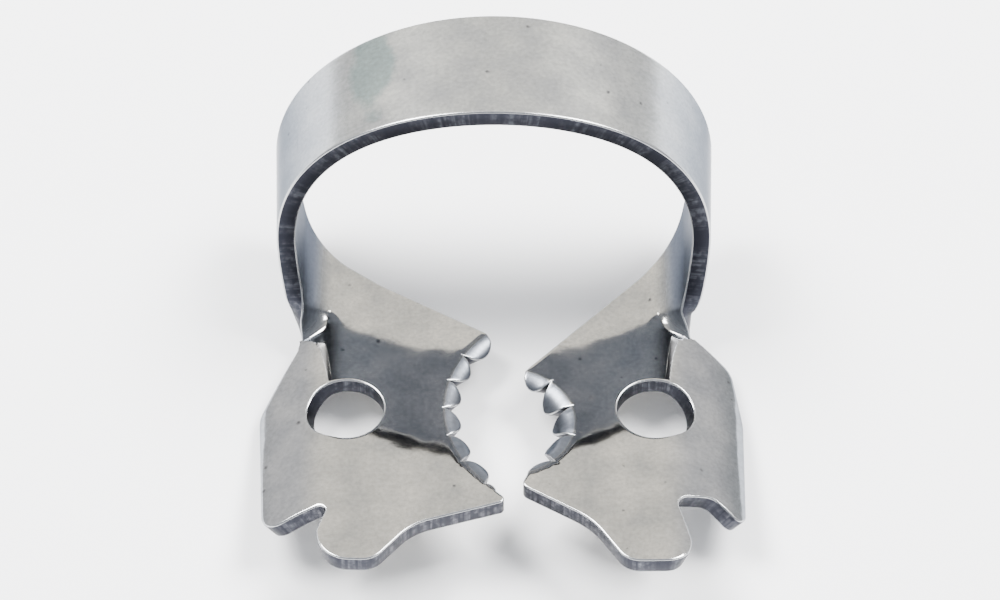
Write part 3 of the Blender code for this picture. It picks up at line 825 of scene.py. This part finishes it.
# %% How much painted reflection each place of the cut gets
cut, tree, shader = new_material("sheared_oven_dark_steel")
blank = add(tree, "ShaderNodeUVMap", uv_map="blank").outputs["UV"]
along = add(tree, "ShaderNodeSeparateXYZ", {"Vector": blank})
from_crown = add(tree, "ShaderNodeMath", {0: along.outputs["X"]}, operation="ABSOLUTE").outputs[0]
FRONT_CUT_PAINTED_LIGHT = (
    (along.outputs["Y"], (-7.5, -9.5), (0.0, 1.0)),
    (along.outputs["Y"], (-14.1, -14.7), (1.0, 0.1)),
    (from_crown, (BLANK_HALF - 9.4, BLANK_HALF - 8.0), (0.4, 1.0)),
)
polish_and_painted_light = 1.0
for place_on_blank, (start, end), (at_start, at_end) in FRONT_CUT_PAINTED_LIGHT:
    reach = add(tree, "ShaderNodeMapRange",
                {"Value": place_on_blank, "From Min": start, "From Max": end, "To Min": at_start,
                 "To Max": at_end}).outputs["Result"]
    polish_and_painted_light = add(tree, "ShaderNodeMath", {0: reach, 1: polish_and_painted_light}, operation="MULTIPLY").outputs[0]

# %% Sheared, oven dark face
# The drawn lines are under 0.1 mm on the real cut and are drawn at 0.2 mm. They come in patches of 2 mm
# where the shear tore less, and flecks of 0.3 mm break them up through the thickness.
DRAWN_LINE = 0.2222
SHEARED_PATCH = 1.818
TORN_FLECK = 0.3125
LINE_DEPTH = 0.03
lines = add(tree, "ShaderNodeTexNoise",
            {"Vector": blank, "Scale": 1 / DRAWN_LINE, "Detail": 4.0, "Roughness": 0.65}).outputs["Fac"]
patches = add(tree, "ShaderNodeTexNoise", {"Vector": blank, "Scale": 1 / SHEARED_PATCH, "Detail": 2.0})
strong = add(tree, "ShaderNodeMapRange",
             {"Value": patches.outputs["Fac"], "From Min": 0.42, "From Max": 0.62}).outputs["Result"]
# Where the painted reflection is full, the lines show along the whole cut and not only in patches.
strength = add(tree, "ShaderNodeMath", {0: strong, 1: polish_and_painted_light}, operation="MAXIMUM").outputs[0]
shine = add(tree, "ShaderNodeMapRange",
            {"Value": lines, "From Min": 0.40, "From Max": 0.66}).outputs["Result"]
body = add(tree, "ShaderNodeTexCoord").outputs["Object"]
torn = add(tree, "ShaderNodeTexNoise",
           {"Vector": body, "Scale": 1 / (TORN_FLECK * MM), "Detail": 3.0}).outputs["Fac"]
whole = add(tree, "ShaderNodeMapRange",
            {"Value": torn, "From Min": 0.42, "From Max": 0.60, "To Min": 0.15}).outputs["Result"]
for factor in (strength, whole):
    shine = add(tree, "ShaderNodeMath", {0: shine, 1: factor}, operation="MULTIPLY").outputs[0]
# Both colours are a touch lighter where the painted reflection is full.
line_colour = add(tree, "ShaderNodeMix", {0: polish_and_painted_light, 6: linear("#62646B"), 7: linear("#66666C")},
                  data_type="RGBA").outputs[2]
oxide_colour = add(tree, "ShaderNodeMix", {0: polish_and_painted_light, 6: linear("#2B2C33"), 7: linear("#2F3036")},
                   data_type="RGBA").outputs[2]
cut_colour = add(tree, "ShaderNodeMix", {0: shine, 6: oxide_colour, 7: line_colour}, data_type="RGBA")
tree.links.new(cut_colour.outputs[2], shader.inputs["Base Color"])
shader.inputs["Metallic"].default_value = 1.0
shader.inputs["Roughness"].default_value = 0.38
score = add(tree, "ShaderNodeBump", {"Height": lines, "Strength": 0.4, "Distance": LINE_DEPTH * MM})
tree.links.new(score.outputs["Normal"], shader.inputs["Normal"])
print(cut.name, "has", len(tree.nodes), "nodes")

# %% [markdown]
# The rounded edge. Tumbling with ceramic chips wears the corners first, so they are the brightest steel:
# a thin light line round every part, with small nicks from the chips.

# %% Tumbled edge
NICK = 0.20
tumbled, tree, shader = new_material("tumbled_steel_edge")
blank = add(tree, "ShaderNodeUVMap", uv_map="blank").outputs["UV"]
nicks = add(tree, "ShaderNodeTexNoise", {"Vector": blank, "Scale": 1 / NICK, "Detail": 3.0}).outputs["Fac"]
edge_colour = add(tree, "ShaderNodeMix", {0: nicks, 6: linear("#9C9DA0"), 7: linear("#C6C7C7")},
                  data_type="RGBA")
tree.links.new(edge_colour.outputs[2], shader.inputs["Base Color"])
shader.inputs["Metallic"].default_value = 1.0
shader.inputs["Roughness"].default_value = 0.2
shader.inputs["Specular Tint"].default_value = linear("#9A9DA2")

for i, material in enumerate((steel, cut, tumbled)):
    solid.materials[i] = material
print("materials:", [m.name for m in solid.materials])

# %% [markdown]
# The studio. The clamp lies on matt white paper, with a pale card behind it, a dim room in front and two
# softboxes. Polished steel shows nothing but what stands round it, so the card is part of the finish: the
# flat jaws show it as a warm even grey. Card and room are colours of the world, so neither stands in the
# picture. The softboxes stand behind, so that the paper under the jaws and in the two holes lies in shade.

# %% Paper
PAPER_HALF = 0.4
paper, tree, shader = new_material("matt_white_paper")
shader.inputs["Base Color"].default_value = linear("#FAFAFB")
shader.inputs["Roughness"].default_value = 0.9
corners = [(x * PAPER_HALF, y * PAPER_HALF, 0.0) for x, y in ((-1, -1), (1, -1), (1, 1), (-1, 1))]
floor_mesh = bpy.data.meshes.new("paper")
floor_mesh.from_pydata(corners, [], [(0, 1, 2, 3)])
floor_mesh.materials.append(paper)
floor = bpy.data.objects.new("paper", floor_mesh)
bpy.context.scene.collection.objects.link(floor)

# %% Card and room
world = bpy.data.worlds.new("room")
bpy.context.scene.world = world
world.use_nodes = True
tree = world.node_tree
direction = add(tree, "ShaderNodeTexCoord").outputs["Generated"]
split = add(tree, "ShaderNodeSeparateXYZ", {"Vector": direction})
towards_card = add(tree, "ShaderNodeMapRange",
                   {"Value": split.outputs["Y"], "From Min": -0.1, "From Max": 0.7},
                   interpolation_type="SMOOTHSTEP").outputs["Result"]
room_colour = add(tree, "ShaderNodeMix", {0: towards_card, 6: linear("#A6AAB1"), 7: linear("#F6F5F2")},
                  data_type="RGBA")
tree.links.new(room_colour.outputs[2], tree.nodes["Background"].inputs["Color"])
tree.nodes["Background"].inputs["Strength"].default_value = 1.75

# %% Two softboxes, behind on the left and behind on the right
SOFTBOX = Vector((0.20, 0.15, 0.30))
for side in (-1, 1):
    light = bpy.data.lights.new("softbox", "AREA")
    light.size = 0.18
    light.energy = 5.0
    softbox = bpy.data.objects.new("softbox", light)
    softbox.location = (side * SOFTBOX.x, SOFTBOX.y, SOFTBOX.z)
    softbox.rotation_euler = (-softbox.location).to_track_quat("-Z", "Y").to_euler()
    bpy.context.scene.collection.objects.link(softbox)
    print("softbox at", [round(c, 2) for c in softbox.location], "m")

# %% [markdown]
# The camera. The photograph looks down into the jaws. Its distance and angle are those at which the
# holes, the bow's height and the jaws' width all keep their proportions. The angle is measured from the
# flat of the jaws. They lean back, so the camera is placed for a level clamp and then turned with it.

# %% Camera
CAMERA_DISTANCE = 200.0
CAMERA_ANGLE = math.radians(48)
PIXELS_PER_MM = 20.4
PICTURE_WIDTH = 1000
AIM = Vector((0.3, 1.28, SHEET / 2))
lens = bpy.data.cameras.new("camera")
lens.sensor_width = 36.0
lens.lens = PIXELS_PER_MM * CAMERA_DISTANCE * lens.sensor_width / PICTURE_WIDTH
lens.clip_start = 0.005
camera = bpy.data.objects.new("camera", lens)
towards = Vector((0.0, -math.cos(CAMERA_ANGLE), math.sin(CAMERA_ANGLE)))
aim = place @ (AIM * MM)
stand = place @ ((AIM + towards * CAMERA_DISTANCE) * MM)
back = (stand - aim).normalized()
up = (place.to_3x3() @ Vector((0.0, math.sin(CAMERA_ANGLE), math.cos(CAMERA_ANGLE)))).normalized()
side = up.cross(back)
camera.matrix_world = Matrix.Translation(stand) @ Matrix((side, up, back)).transposed().to_4x4()
bpy.context.scene.collection.objects.link(camera)
bpy.context.scene.camera = camera
print("camera looks down at", round(math.degrees(math.asin(back.z)), 1), "degrees")
